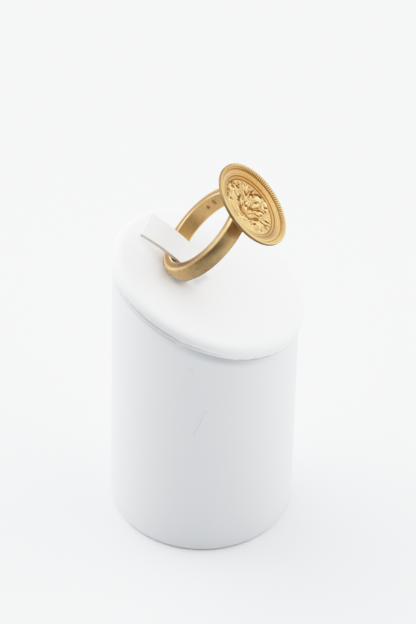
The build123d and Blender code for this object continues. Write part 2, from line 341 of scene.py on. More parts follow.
# Ornament of the plate. Across runs to the right and along runs down when the plate is seen
# straight on. Places are hundredths of the field's radius, widths and small radii thousandths
# of it, and heights hundredths of its depth.
# Leaves: across and along of the root and of the tip, width, height
LEAVES = [
    (18, 5, 61, 13, 160, 36), (-25, 8, 33, 48, 170, 30), (-36, -18, -1, -46, 160, 30),
    (2, -20, 38, -62, 130, 26), (18, -17, 96, -36, 100, 25), (53, -14, 76, 11, 130, 25),
    (-30, 9, -26, -14, 100, 30), (-33, 20, 11, 48, 110, 26), (21, 51, 54, 80, 80, 19),
    (-2, 49, 33, 88, 80, 19), (-29, 45, -8, 83, 80, 16), (-49, 29, -78, 10, 80, 19),
    (-12, -69, -27, -34, 100, 16), (90, 8, 85, 33, 80, 17), (-61, 54, -60, 73, 60, 12),
    (-25, 68, -10, 93, 60, 12), (-23, -74, -57, -55, 80, 13), (43, -49, 75, -66, 80, 17),
]
# Thin raised lines: width, height, and the across and along of their points
CORDS = [
    (38, 36, (-1, -41), (-16, -43), (-31, -38), (-41, -28), (-39, -16)),
    (38, 35, (-8, -34), (-19, -25), (-25, -11)), (35, 35, (6, -24), (25, -33), (47, -39), (76, -40)),
    (35, 32, (53, -34), (77, -24), (89, -10), (90, 5)), (35, 33, (32, -54), (20, -39), (9, -27)),
    (35, 29, (57, -16), (70, -8), (75, 5)), (49, 40, (-28, 14), (-7, 24), (22, 35), (28, 47)),
    (35, 33, (-27, 27), (-10, 39), (7, 48)), (31, 25, (19, 53), (37, 67), (48, 82)),
    (31, 25, (5, 61), (19, 76), (33, 88)), (31, 25, (-19, 54), (-7, 73), (4, 88)),
    (28, 23, (6, 64), (14, 86), (16, 96)), (24, 20, (-40, 64), (-37, 81)),
    (24, 20, (-20, 71), (-19, 90)), (28, 23, (-35, -88), (-44, -76), (-60, -62), (-63, -48)),
    (35, 26, (-68, -45), (-81, -23), (-84, -3), (-83, 12)), (28, 22, (-58, -31), (-69, -14), (-73, 2)),
    (28, 25, (72, 11), (68, 21), (47, 32)), (28, 22, (112, 24), (96, 42), (75, 62)),
    (28, 20, (40, -83), (42, -72), (31, -60)), (28, 19, (-10, -71), (9, -63), (14, -50)),
]
# Scrolls: across and along of the middle, radius, start and length in degrees, width, height
SCROLLS = [
    (-6, -89, 77, 0, 330, 35, 23), (16, -77, 77, 120, 330, 35, 23), (63, 35, 84, 40, 320, 35, 30),
    (-42, 47, 105, 150, 250, 31, 25), (62, -55, 63, 200, 260, 28, 20),
]
# Beads: across and along, radius
BEADS = [
    (-78, 22, 35), (-57, -75, 38), (-70, -62, 35), (-35, 45, 45), (-59, 14, 31), (-21, -1, 38),
    (66, 71, 28), (96, -33, 28),
]
# Hollows cut between the forms, each with a thin raised lip: width, darkness in hundredths, which
# is patina and painted shadow under the forms, and the across and along of their points
HOLLOWS = [
    (24, 110, (-5, -99), (-11, -93)), (26, 130, (4, -92), (0, -86)), (26, 130, (27, -84), (22, -78)),
    (24, 110, (-18, -86), (-12, -78)), (21, 85, (5, -78), (11, -69)),
    (21, 100, (42, -88), (51, -77), (50, -65)), (26, 100, (-44, -85), (-52, -76)),
    (24, 90, (-64, -72), (-68, -66)), (21, 95, (-66, -56), (-59, -50)), (21, 120, (67, -53), (70, -49)),
    (28, 130, (24, -48), (17, -38)), (45, 130, (48, -32), (52, -25)),
    (17, 95, (64, -26), (79, -19), (86, -11), (89, -1)),
    (24, 90, (-1, -47), (-21, -43), (-34, -36), (-37, -26), (-39, -15)),
    (21, 90, (-10, -38), (-16, -28)), (14, 70, (22, -20), (24, -18)),
    (23, 120, (36, 1), (47, 0), (57, 3), (60, 9)), (17, 70, (78, 4), (83, 8)),
    (17, 110, (98, 9), (97, 18), (95, 29), (93, 36)), (21, 120, (67, 27), (78, 28), (84, 34)),
    (24, 120, (59, 38), (61, 42)), (52, 110, (-2, 2), (0, 11)),
    (21, 120, (5, 16), (25, 23), (40, 28), (46, 36), (49, 44)),
    (52, 110, (-44, -15), (-48, -5), (-50, 3), (-47, 9)),
    (31, 90, (-44, 28), (-34, 35), (-20, 41), (-1, 50)), (42, 90, (-41, 14), (-46, 22), (-44, 30)),
    (14, 60, (-4, 29), (6, 38), (14, 43)), (21, 70, (21, 42), (36, 45)),
    (17, 85, (-50, 41), (-51, 49), (-43, 54), (-26, 56)), (17, 90, (3, 56), (10, 69), (20, 80)),
    (21, 95, (32, 63), (41, 74), (47, 82)), (21, 100, (30, 82), (37, 90)),
    (14, 60, (-65, 3), (-65, 14), (-61, 19)), (14, 40, (-29, 72), (-29, 79)),
    (14, 40, (-15, 80), (-13, 88)), (14, 50, (17, -5), (10, 6)), (14, 50, (13, 12), (42, 21)),
    (14, 50, (2, -13), (-16, -7)), (14, 40, (-18, -69), (-27, -53), (-26, -45)),
]
BUD_PLACE = (-6, -8)
BUD_RADIUS = 0.72 * MM
LEAF_BOW = 0.02
LEAF_LIFT = 0.95
HOLLOW_DEPTH = 0.16 * MM
HOLLOW_LEAST = 0.13 * MM
LIP_LIFT = 0.13 * MM
LIP_AWAY = 0.16 * MM
LIP_WIDTH = 0.12 * MM
CAST_SOFTNESS = 0.035 * MM
RASTER_STEP = 0.04 * MM


def bowed(start, end, bow, steps=14):
    """Points of a parabola from start to end whose middle stands off the straight line by bow."""
    t = np.linspace(0, 1, steps + 1)[:, None]
    way = end - start
    left = np.array([-way[1], way[0]]) / np.linalg.norm(way)
    return start + way * t + left * bow * 4 * t * (1 - t)


def nearest_on_path(x, y, path):
    """Distance of each point from a polyline, and the share of the polyline's length where its
    nearest point lies."""
    best = np.full(x.shape, 1e9)
    place = np.zeros(x.shape)
    for k in range(len(path) - 1):
        (x0, y0), (dx, dy) = path[k], path[k + 1] - path[k]
        t = np.clip(((x - x0) * dx + (y - y0) * dy) / (dx * dx + dy * dy), 0, 1)
        away = np.hypot(x - x0 - t * dx, y - y0 - t * dy)
        nearer = away < best
        best = np.where(nearer, away, best)
        place = np.where(nearer, (k + t) / (len(path) - 1), place)
    return best, place


def raised(x, y, path, half_width, height, vein=0.0, taper=1.0):
    """Raised form along a path: its half width swells from both ends as sin(pi t) to the power
    taper, it is domed across, and a vein is sunk along its middle."""
    away, t = nearest_on_path(x, y, path)
    width = half_width * np.sin(math.pi * np.clip(t, 0.02, 0.98)) ** taper if taper else half_width
    dome = np.sqrt(np.clip(1 - (away / width) ** 2, 0, 1))
    lift = 0.55 + 0.45 * np.sin(math.pi * t) if taper else 1.0
    return height * lift * dome * (1 - vein * bell(away, 0.22 * half_width))


def blurred(raster, width):
    """Raster convolved with a Gaussian, as a product of spectra."""
    rate_y = np.fft.fftfreq(raster.shape[0], RASTER_STEP)[:, None]
    rate_x = np.fft.rfftfreq(raster.shape[1], RASTER_STEP)[None]
    pass_band = np.exp(-2 * (math.pi * width) ** 2 * (rate_x ** 2 + rate_y ** 2))
    return np.fft.irfft2(np.fft.rfft2(raster) * pass_band, s=raster.shape)


def ornament_rasters(radius, depth):
    """Height of the ornament over the field, the darkening of its recesses and the brightening of
    its tops, on a square raster: the highest of all raised forms, less the hollows cut between
    them, softened as casting softens them. The darkening, patina and painted shade, is how far each
    place lies below its surroundings or how near it is to a hollow; the brightening, rubbed gilding
    and a painted highlight, is how far it stands over them."""
    reach = radius + 6 * RASTER_STEP
    line = np.arange(-reach, reach, RASTER_STEP)
    x, y = np.meshgrid(line, line)
    forms = [np.zeros(x.shape)]

    def place(across, along):
        return np.array([across, -along]) / 100 * radius

    def add_form(path, width, rise, lift=1.0, **looks):
        forms.append(raised(x, y, path, width / 1000 * radius / 2, rise / 100 * depth * lift, **looks))

    for root_x, root_y, tip_x, tip_y, width, rise in LEAVES:
        path = bowed(place(root_x, root_y), place(tip_x, tip_y), LEAF_BOW * radius)
        add_form(path, width, rise, LEAF_LIFT, vein=0.5, taper=0.75)
    for width, rise, *points in CORDS:
        add_form([place(*point) for point in points], width, rise, taper=0.35)
    t = np.linspace(0, 1, 25)
    for across, along, curl, start, sweep, width, rise in SCROLLS:
        angle = np.radians(start + sweep * t)
        spiral = curl / 1000 * radius * (1 - 0.35 * t)[:, None]
        add_form(place(across, along) + spiral * np.stack([np.cos(angle), np.sin(angle)], axis=-1),
                 width, rise, taper=0)
    domes = [(across, along, bead / 1000 * radius) for across, along, bead in BEADS]
    for across, along, bead in (*domes, (*BUD_PLACE, BUD_RADIUS)):
        middle = place(across, along)
        forms.append(np.sqrt(np.clip(bead ** 2 - (x - middle[0]) ** 2 - (y - middle[1]) ** 2, 0, None)))
    height = highest(*forms)
    dark = np.zeros(x.shape)
    for width, darkness, *points in HOLLOWS:
        away, _ = nearest_on_path(x, y, [place(*point) for point in points])
        width = max(1.25 * (width / 1000) * radius, HOLLOW_LEAST)
        lip = bell(away - width - LIP_AWAY, LIP_WIDTH)
        height = height - HOLLOW_DEPTH * bell(away, width) + LIP_LIFT * lip
        dark = np.maximum(dark, darkness / 100 * bell(away, width))
    height = blurred(height, CAST_SOFTNESS)
    lies_over = height - blurred(height, 0.3 * MM)
    # Patina and painted shade where the surface lies low or near a hollow, rubbed gilding and a painted
    # highlight where it stands over
    dirt_and_shade = np.maximum(0.66 * dark, 0.55 * np.clip(-lies_over / (0.14 * MM), 0, 1))
    wear_and_highlight = np.clip(lies_over / (0.2 * MM), 0, 1) * np.clip(1 - 1.5 * dark, 0, 1)
    return line, height, dirt_and_shade, wear_and_highlight


def read_raster(line, raster, x, y):
    """Value of the raster at each point, between its four nearest cells."""
    column = np.clip((x - line[0]) / RASTER_STEP, 0, len(line) - 1.001)
    row = np.clip((y - line[0]) / RASTER_STEP, 0, len(line) - 1.001)
    i, j = row.astype(int), column.astype(int)
    a, b = row - i, column - j
    return ((raster[i, j] * (1 - b) + raster[i, j + 1] * b) * (1 - a)
            + (raster[i + 1, j] * (1 - b) + raster[i + 1, j + 1] * b) * a)


def plate_circles(radius):
    """Radii of the rim's crest, the wall's foot, the border's foot and the field."""
    rim_crest = radius - RIM_WIDTH
    wall_foot = rim_crest - WALL_WIDTH
    border_foot = wall_foot - BORDER_WIDTH
    return rim_crest, wall_foot, border_foot, border_foot - GROOVE_WIDTH


def plate_profile(radius):
    """Half section of the plate as radius and height over the rim's plane, from the middle of
    the field outwards, over the rim and back along the underside, with rounded corners."""
    rim_crest, wall_foot, border_foot, field_radius = plate_circles(radius)
    field_line, border_line = field_radius + GROOVE_LINE, border_foot - GROOVE_LINE
    back_depth = FIELD_DEPTH + FIELD_METAL
    # Radius, height and rounding of each corner, the last one in millimetres
    corners = [
        (AXIS_GAP, -FIELD_DEPTH, 0),
        (field_radius, -FIELD_DEPTH, 0.05),
        (field_line, -FIELD_DEPTH + GROOVE_STEP, 0.06),
        ((field_line + border_line) / 2, -BORDER_DEPTH - GROOVE_STEP / 2, 0.1),
        (border_line, -BORDER_DEPTH - GROOVE_STEP, 0.06),
        (border_foot, -BORDER_DEPTH, 0.08),
        ((border_foot + wall_foot) / 2, -(BORDER_DEPTH + WALL_DEPTH) / 2 + GROOVE_STEP, 0.9),
        (wall_foot, -WALL_DEPTH, 0.04),
        (rim_crest, 0, 0.1),
        (radius, 0, 0.14),
        (radius, -RIM_EDGE, 0.14),
        (wall_foot, -WALL_DEPTH - WALL_METAL, 0.6),
        (BACK_FLAT, -back_depth, 0.8),
        (AXIS_GAP, -back_depth, 0),
    ]
    return round_corners([corner[:2] for corner in corners], [corner[2] * MM for corner in corners],
                         steps=3, loop=False)


def make_plate(settings, places):
    """The plate: its profile turned about the plate's axis, with the ornament added to the
    field's height, fine ridges on the wall up to a little below the rim wherever a cosine of the
    angle is high, and fine turning lines on the border. The ridges run out over the crest as
    shallow nicks, and are rubbed away low on the plate."""
    edge = settings.plate_radius
    outline = plate_profile(edge)
    widest = int(np.argmax(outline[:, 0]))
    top = spaced(outline[:widest + 1], TOP_STEP)
    profile = np.vstack([top, spaced(outline[widest:], UNDER_STEP)[1:]])
    rim_crest, wall_foot, _, field_radius = plate_circles(edge)
    ridges = round(2 * math.pi * (wall_foot + WALL_WIDTH / 2) / settings.ridge_pitch)
    angle = full_turn(ridges * RIDGE_COLUMNS)
    radius, height = profile[:, :1], np.repeat(profile[:, 1:], len(angle), axis=1)
    x, y = radius * np.cos(angle), radius * np.sin(angle)
    is_top = (np.arange(len(profile)) < len(top))[:, None]
    # Degrees round the plate from its side towards +X; 90 is the finger hole's upper end
    outward = np.cos(angle)[:, None] * places.across + np.sin(angle)[:, None] * places.along
    turned = np.degrees(np.arctan2(outward @ places.finger_axis, -outward @ places.side))

    def step(circle, low, high):
        """Soft step beside a circle, from 0 to 1 between two distances in millimetres."""
        return smooth_step(circle + low * MM, circle + high * MM, radius)

    def stripe(circle, off, width):
        """Bell across the top beside a circle, its middle and half width in millimetres."""
        return is_top * bell(radius - circle - off * MM, width * MM)

    line, ornament, dirt_and_shade, wear_and_highlight = ornament_rasters(field_radius, FIELD_DEPTH)
    in_field = is_top * step(field_radius, 0, -0.25)
    height = height + read_raster(line, ornament, x, y) * in_field
    crest = smooth_step(0.25, 0.8, 0.5 + 0.5 * np.cos(angle * ridges))
    kept = 0.12 + 0.88 * smooth_step(-78, -42, turned)
    on_wall = is_top * step(wall_foot, -0.1, 0.06) * (radius < rim_crest)
    height = height + np.clip(-RIDGE_TOP - height, 0, RIB_LIFT) * crest * on_wall
    nicks = stripe(rim_crest, 0.1, 0.22) * (1 - crest) * kept
    height = height - NICK_DEPTH * nicks
    on_border = is_top * step(field_radius, 0.7, 0.9) * step(wall_foot, 0, -0.15)
    turning = np.cos((radius - wall_foot) / TURNING_PITCH * 2 * math.pi)
    height = height + TURNING_LIFT * turning * on_border

    # Dirt lies between the ridges and in the dark lines. Painted shade makes the lines deepest
    # towards +X, darkens a band by the wall's foot, and darkens the border and the rim on that side;
    # the rim's outer side is darker all round, tarnish with painted shade.
    between = is_top * step(wall_foot, -0.12, 0) * step(rim_crest, 0.05, -0.1) * (1 - crest) * kept
    far = 0.62 + 0.38 * np.clip(-outward @ places.side, -0.6, 1)
    # Painted shade on the border and the rim towards +X and up the plate
    far_side_shade = is_top * np.maximum(0.42 * step(field_radius, 0, 0.2) * bell(turned - 8, 48),
                               0.5 * step(wall_foot, -0.1, 0.3) * bell(turned - 62, 38))
    at_edge = step(edge, -0.2, -0.04)
    under_edge = (1 - is_top) * (radius > edge - 0.5 * MM)
    shade = highest(
        read_raster(line, dirt_and_shade, x, y) * in_field,
        0.6 * between,
        0.45 * nicks,
        *(darkness * far * stripe(wall_foot, -inside, width) for inside, width, darkness in PLATE_LINES),
        0.2 * stripe(wall_foot, -0.1, 0.4) * kept,
        0.2 * on_border * np.clip(-turning, 0, 1),
        far_side_shade,
        0.4 * is_top * bell(np.hypot(x - SPOT[0], y - SPOT[1]), SPOT[2]),
        0.3 * np.maximum(at_edge, under_edge))
    # The ornament's tops, the ridges, the rim and the turning lines are rubbed bright, with painted
    # highlights on them
    worn_and_highlit = highest(
        read_raster(line, wear_and_highlight, x, y) * in_field,
        0.9 * crest * kept * on_wall * step(wall_foot, -0.05, 0.1),
        0.35 * stripe(rim_crest, 0.12, 0.12),
        0.3 * on_border * np.clip(turning, 0, 1))
    # Tarnish stays underneath, and on the rim's outer side it is tarnish with painted shade
    dull = np.maximum(0.9 * at_edge, 0.8 * (1 - is_top))
    points = (places.plate_centre + x[..., None] * places.across + y[..., None] * places.along
              + height[..., None] * places.plate_axis)
    looks = {"dirt_and_shade": shade, "wear_and_highlight": worn_and_highlit * (1 - 1.2 * far_side_shade), "tarnish_and_shade": dull}
    return add_surface("ring_plate", points, values=looks, crease=50)


# Dents inside the band: degrees about the finger hole, then place along it and half sizes along
# and round it, all in shares of half the band's width
DENTS = [(84, 0.20, 0.44, 0.26), (96, 0.12, 0.28, 0.2)]


def make_band(settings, places):
    """The band: a rounded section turned about the finger hole's axis. Its outer side is an arc
    that stands out by the crown in the middle. Two smooth dents press into its inner face."""
    hole, half = settings.finger_radius, places.half_band
    run = np.linspace(-1, 1, 13)
    crown = np.stack([places.band_edge + settings.crown_rise * (1 - run ** 2), run * half], axis=-1)
    corners = np.vstack([[(hole, half), (hole, -half)], crown])
    radii = [settings.inner_round] * 2 + [settings.outer_round] + [0] * 11 + [settings.outer_round]
    section = spaced(round_corners(corners, radii, steps=5), BAND_STEP, loop=True)
    along, away = section[:, 1:], section[:, :1] - hole
    inside = away < 0.01 * MM
    angle = full_turn(BAND_COLUMNS)
    dented = np.zeros((len(section), len(angle)))
    for degrees, place, long, wide in DENTS:
        off = (angle - math.radians(degrees)) * hole
        reach = np.hypot(off / (wide * half), (along - place * half) / (long * half))
        dented = np.maximum(dented, inside * smooth_step(1.15, 0.55, reach))
    radius = section[:, :1] + settings.dent_depth * dented
    outward = np.cos(angle)[:, None] * places.plate_axis - np.sin(angle)[:, None] * places.side
    rows = places.ring_centre + radius[..., None] * outward + along[..., None] * places.finger_axis

    turned = np.degrees(angle)

    def around(middle, width):
        """Bell of the angle about the finger hole, in degrees: 270 is the side towards -X and
        180 the foot."""
        return bell(turned - middle, width)

    # Painted shade, for the dark that the metal reflects, dulls the middle of the outer side towards
    # -X and its upper rounding there, and the band's lower edge is dulled too; the finger hole is clean
    outside = 1 - inside
    on_face = smooth_step(1.7 * MM, 1.1 * MM, away)
    outer = outside * (1 - on_face)
    dull = 0.95 * around(277, np.where(turned < 277, 24, 26))
    dull = dull + on_face * (0.5 + 0.35 * np.clip(-np.sin(angle), 0, 1) - dull)
    dull = outside * np.maximum(dull, 0.75 * smooth_step(-0.45, -0.95, along / half))
    rounding = bell(away - 1.75 * MM, 0.5 * MM) * (along > 0) * around(294, 30)
    # The corners of the finger hole are rubbed bright, with a painted highlight, and painted light brightens
    # two places of the outer side
    corner = bell(np.hypot(away, np.abs(along) - half), 0.17 * MM)
    worn_and_highlit = highest(
        corner * (0.6 + 0.25 * np.cos(angle * 5 + 1)),
        0.16 * outside * around(306, 14),
        0.34 * outer * around(342, 12))
    # Painted shadow lies under the strip and painted shade on the upper rounding towards -X, and dirt lies in
    # the dents
    under_strip = inside * bell((angle - math.radians(189)) * hole, 4.2 * MM)
    shade = highest(
        0.95 * inside * smooth_step(0.3, 0.8, under_strip),
        inside * (0.03 + 0.25 * around(140, 20)),
        0.4 * dented,
        0.45 * on_face * outside,
        0.2 * outer * around(318, 18),
        0.3 * rounding)
    looks = {"dirt_and_shade": shade, "wear_and_highlight": worn_and_highlit, "tarnish_and_shade": np.maximum(dull, 0.85 * rounding)}
    return add_surface("ring_band", rows, ring_of_rows=True, values=looks, crease=60)


def make_seat(settings, places):
    """The seat: superellipses stacked from inside the band to inside the plate, wider towards
    both ends where solder fills the corner."""
    low = places.band_edge - 0.6 * MM
    high = settings.plate_reach - FIELD_DEPTH - 0.5 * FIELD_METAL
    t = np.linspace(0, 1, 25)[:, None]
    flare = 0.25 * MM * (np.exp(-t * 6) + np.exp(-(1 - t) * 5))
    angle = full_turn(SEAT_COLUMNS)

    def squared(part, length):
        """Superellipse's places along one axis, from their cosine or sine and its length there."""
        return (length / 2 + flare) * (np.sign(part) * np.abs(part) ** 0.55)

    rows = (places.ring_centre + (low + (high - low) * t)[..., None] * places.plate_axis
            + squared(np.cos(angle), settings.seat_length)[..., None] * places.side
            + squared(np.sin(angle), settings.seat_width)[..., None] * places.finger_axis)
    return add_surface("ring_seat", rows, values={"dirt_and_shade": 0.2, "wear_and_highlight": 0.0, "tarnish_and_shade": 0.6}, crease=60)


# Rows of the strip's straight root, its tight bend and its arch
ROOT_ROWS, BEND_ROWS, ARCH_ROWS = 16, 15, 40


def strip_line(settings, places, ring):
    """Middle line of the strip as places up the slope and square to it, with each place's
    normal: straight out of the cushion, round a tight bend, then a gentle arch whose underside
    rests on the band's inner face."""
    half_strip = settings.width / 2 + settings.aside
    arch_turn = ring.lean + settings.steeper
    half = places.half_band
    dip = half * math.tan(settings.steeper) + half ** 2 / (2 * settings.arch_radius)
    drop = math.sqrt(ring.finger_radius ** 2 - half_strip ** 2) - settings.thickness / 2 - dip - 0.1 * MM
    bend_turn = arch_turn + (half + settings.before) / settings.arch_radius
    tip_turn = arch_turn - (half + settings.beyond) / settings.arch_radius

    def normal(angle):
        return np.stack([-np.sin(angle), np.cos(angle)], axis=-1)

    middle = np.array([ring.uphill, places.ring_height]) - normal(ring.lean) * drop
    arch_centre = middle - normal(arch_turn) * settings.arch_radius
    root_turn = math.radians(90) + settings.root_lean
    bend_end = arch_centre + normal(bend_turn) * settings.arch_radius
    bend_centre = bend_end - normal(bend_turn) * settings.bend_radius
    bend_start = bend_centre + normal(root_turn) * settings.bend_radius
    root_length = (bend_start[1] + settings.below_seam) / math.cos(settings.root_lean)
    root_way = np.array([math.cos(root_turn), math.sin(root_turn)])
    beyond = settings.width / 2 * math.tan(settings.end_skew)
    root = bend_start - root_way * np.linspace(root_length, 0, ROOT_ROWS)[:, None]
    bend_angle = np.linspace(root_turn, bend_turn, BEND_ROWS)[1:]
    bend = bend_centre + normal(bend_angle) * settings.bend_radius
    arch_angle = np.linspace(bend_turn, tip_turn - beyond / settings.arch_radius, ARCH_ROWS)[1:]
    arch = arch_centre + normal(arch_angle) * settings.arch_radius
    line = np.vstack([root, bend, arch])
    turns = np.concatenate([np.full(ROOT_ROWS, root_turn), bend_angle, arch_angle])
    return line, normal(turns), np.stack([np.cos(turns), np.sin(turns)], axis=-1)


def make_strip(settings, places, ring):
    """The strip: a flat rounded section carried along its middle line. Towards the end each row
    is sheared along the strip, so that the cut end is slanted."""
    line, normals, ways = strip_line(settings, places, ring)
    half_width, half_thick = settings.width / 2, settings.thickness / 2
    corners = [(-half_width, -half_thick), (half_width, -half_thick),
               (half_width, half_thick), (-half_width, half_thick)]
    section = spaced(round_corners(corners, [0.12 * MM] * 4, steps=4), 0.35 * MM, loop=True)
    run = np.concatenate([[0], np.cumsum(np.linalg.norm(np.diff(line, axis=0), axis=1))])
    beyond = half_width * math.tan(settings.end_skew)
    shear = smooth_step(run[-1] - 6 * MM, run[-1] - beyond, run)
    shift = shear[:, None] * (section[:, 0] * math.tan(settings.end_skew) - beyond)[None]
    flat = line[:, None] + normals[:, None] * section[None, :, 1:] + ways[:, None] * shift[..., None]
    middle = places.seam_centre + places.side * settings.aside
    rows = (middle + flat[..., :1] * places.up_slope + flat[..., 1:] * places.square
            + section[None, :, :1] * places.side)
    # The cut edges take a darker beige: painted shade on them
    cut = smooth_step(half_width - 0.14 * MM, half_width - 0.02 * MM, np.abs(section[:, 0]))
    return add_surface("holding_strip", rows, values={"cut": cut}, crease=40)


def pad_outline(settings, angle):
    """Edge of the cushion in the seam's plane, an ellipse, and its outward normal there."""
    long = settings.body_radius + settings.pad_overhang
    high = long / math.cos(settings.top_slope)
    edge = np.stack([long * np.cos(angle), high * np.sin(angle)], axis=-1)
    normal = np.stack([np.cos(angle) / long, np.sin(angle) / high], axis=-1)
    return edge, normal / np.linalg.norm(normal, axis=-1, keepdims=True)


# The cushion's lip from its rounded side down, as insets and heights in shares of its rounding:
# the cover draws in, then a thin bead stands out over the body
LIP_BEAD = [(0.08, 1.3), (0.2, 1.1), (0.27, 0.94), (0.2, 0.8), (0.04, 0.66), (-0.04, 0.48), (0.0, 0.3),
            (0.18, 0.12), (0.5, 0.03), (1.0, 0), (3.6, 0), (8.6, 0)]
# Waves of the lip: height in millimetres, waves in a full turn, start in radians
LIP_WAVES = [(0.09, 2, 0.6), (0.06, 5, 2.1), (0.04, 11, 0.4)]
# Puckers of the lip: height in millimetres, puckers in a full turn, middle and half width of
# their stretch in degrees
LIP_PUCKERS = [(0.08, 57, 133, 9), (0.05, 43, 215, 14)]
# The crease on the cushion, in millimetres across and up the slope
CREASE = [(-4.4, -0.5), (-0.8, -3.8), (3.5, -6.0), (8.3, -7.2)]
# Painted shadows on the cushion, beside the strip, round the band's foot and inside the ring:
# half width, darkness, and a line of places across and up the slope, all lengths in millimetres
PAINTED_SHADOWS = [
    (1.2, 0.32, (3.6, 15.6), (1.6, 12.9), (-0.6, 11.0)),
    (0.8, 0.42, (-3.0, 8.7), (-4.9, 6.9)),
    (0.7, 0.4, (-3.3, 2.9), (-1.0, 1.4)),
    (2.0, 0.12, (5.7, 5.1), (10.4, 3.5)),
]
# Gap that the cushion leaves under the band, and the most that it sinks there
BAND_CLEAR = 0.25 * MM
MOST_SINK = 3 * MM


def make_cushion(settings, places, ring, strip):
    """The cushion: rows run from a pole beside the ring out to the rounded edge, down to the
    bead of its sewn lip and back below. The top is a shallow dome with a soft crease. It sinks
    under the band to the band's own surface, in a wider soft hollow. The lip's stand-out is a
    sum of sines of the angle, with a few short puckers and one kink, and on one side the lip is
    drawn in. Grey painted shade lies on the cover's side, most there, and painted shadows lie
    beside the strip, round the band's foot and inside the ring."""
    angle = full_turn(PAD_COLUMNS)
    degrees = np.degrees(angle)
    edge, normal = pad_outline(settings, angle)
    pole = np.array([-strip.aside * 0.5, ring.uphill + 2.4 * MM])
    top, lip_round, thick = settings.pad_top_round, settings.pad_lip_round, settings.pad_thickness
    spread = np.linspace(0, 1, 131)[1:] ** 1.35
    flat = pole + spread[:, None, None] * (edge - normal * top - pole)
    bend = np.linspace(0, math.pi / 2, 15)[1:]
    lip = np.array(LIP_BEAD) * lip_round
    inset = np.concatenate([top * (1 - np.sin(bend)), lip[:, 0]])[:, None]
    height = np.concatenate([thick - top * (1 - np.cos(bend)), lip[:, 1]])[:, None]
    wave = sum(high * np.sin(waves * angle + start) for high, waves, start in LIP_WAVES)
    pucker = sum(high * np.sin(angle * folds) * bell(degrees - middle, wide)
                 for high, folds, middle, wide in LIP_PUCKERS)
    kink = bell(degrees - 171, 1.6)
    on_lip = smooth_step(1.3 * MM, 0.5 * MM, height)
    drawn = bell(height - 0.94 * lip_round, 0.35 * lip_round)
    stand_out = (wave + pucker + 0.12 * kink) * MM * on_lip - 0.4 * MM * drawn * bell(degrees - 148, 26)
    around = edge - normal * (inset - stand_out)[..., None]
    height = height - 0.22 * MM * kink * on_lip * (height > 0)
    plane = np.vstack([flat, around])
    n = np.concatenate([np.full((len(flat), len(angle)), thick), height])
    x, u = plane[..., 0], plane[..., 1]
    row = np.arange(len(plane))[:, None]
    is_top = row < len(flat) + 6
    long = settings.body_radius + settings.pad_overhang
    rim_share = np.hypot(x / long, u * math.cos(settings.top_slope) / long)
    n = n + is_top * settings.pad_crown * smooth_step(1.0, 0.55, rim_share)

    # A soft hollow round the band's foot, and a soft crease down the slope from it
    foot = ring.uphill + places.band_edge * math.sin(ring.lean) - places.half_band * math.cos(ring.lean)
    from_foot = np.hypot(np.clip(np.abs(x) - 3.5 * MM, 0, None), u - foot)
    crease, _ = nearest_on_path(x, u, [np.array(point) * MM for point in CREASE])
    n = n - is_top * (0.45 * MM * bell(from_foot, 2.4 * MM) + 0.13 * MM * bell(crease, 1.3 * MM))
    n = n - np.clip(BAND_CLEAR - (band_floor(x, u, places, ring) - n), 0, MOST_SINK) * is_top

    # Grey painted shade on the cushion's side, and painted shadows on its top
    side = smooth_step(thick + 0.2 * MM, thick - 1.6 * MM, n) * (row >= len(flat))
    painted_grey = side * (0.1 + 0.3 * bell(degrees - 152, 26) + 0.12 * bell(degrees - 232, 30))
    for width, darkness, *points in PAINTED_SHADOWS:
        away, _ = nearest_on_path(x, u, [np.array(point) * MM for point in points])
        painted_grey = np.maximum(painted_grey, is_top * darkness * bell(away, width * MM))
    points = (places.seam_centre + x[..., None] * np.array([1.0, 0, 0]) + u[..., None] * places.up_slope
              + n[..., None] * places.square)
    return add_surface("pad_cushion", points, values={"painted_shade": painted_grey}, crease=60)


def band_floor(x, u, places, ring):
    """Height over the seam of the band's lowest metal above a place, or a metre where the band
    isn't. The band is taken as circles side by side along the tilted finger hole: each place's
    line square to the seam is cut with each circle's plane, and the height counts where the cut
    lies on the circle."""
    sine, cosine = math.sin(ring.lean), math.cos(ring.lean)
    radius = places.band_edge + 0.5 * ring.crown_rise
    lowest = np.full(x.shape, 1.0)
    for along in np.linspace(-places.half_band, places.half_band, 25):
        uphill = (u - ring.uphill - along * cosine) / sine
        height = places.ring_height + along * sine - uphill * cosine
        on_circle = np.abs(np.hypot(x, uphill) - radius) < 0.12 * MM
        lowest = np.where(on_circle, np.minimum(lowest, height), lowest)
    return lowest


# The body's shoulder under the cushion's lip: insets and depths under the seam, in millimetres
SHOULDER = [(0, 2.0), (0, 1.5), (0.02, 1.1), (0.06, 0.8), (0.13, 0.5), (0.25, 0.2), (0.45, 0.04)]


